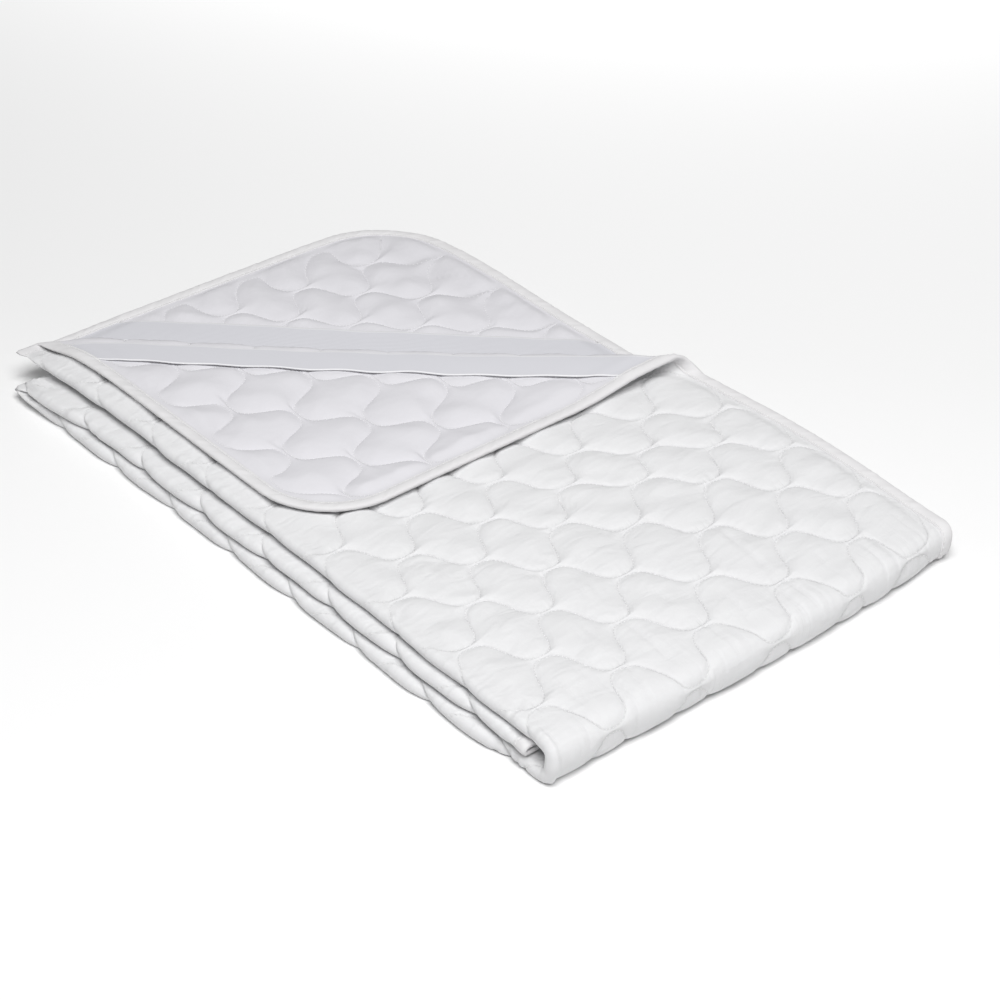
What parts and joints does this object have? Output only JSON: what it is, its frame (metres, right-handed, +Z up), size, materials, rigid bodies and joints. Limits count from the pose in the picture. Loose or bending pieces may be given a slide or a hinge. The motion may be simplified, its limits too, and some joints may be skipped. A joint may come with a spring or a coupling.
{
  "type": "folded quilted mattress protector",
  "caption": "Quilted mattress protector with bound edges and corner elastics, folded flat with one corner turned back.",
  "frame": {"origin": "middle of the bounding box, on the surface the folded pack lies on", "axes": "+X along the folded pack from its free end to its rounded fold, +Y from the folded long side to the bound long side, +Z up"},
  "size_m": [0.7031, 0.4422, 0.053],
  "materials": {
    "quilted_cloth": "white microfibre, quilted in staggered ovals",
    "binding_tape": "white bias binding with one row of stitching",
    "elastic_webbing": "pale grey ribbed elastic"
  },
  "bodies": {
    "root": {"quilted_pad": "quilted_cloth", "edge_binding": "binding_tape", "corner_elastic_flap": "elastic_webbing", "corner_elastic_under": "elastic_webbing"}
  },
  "joints": []
}
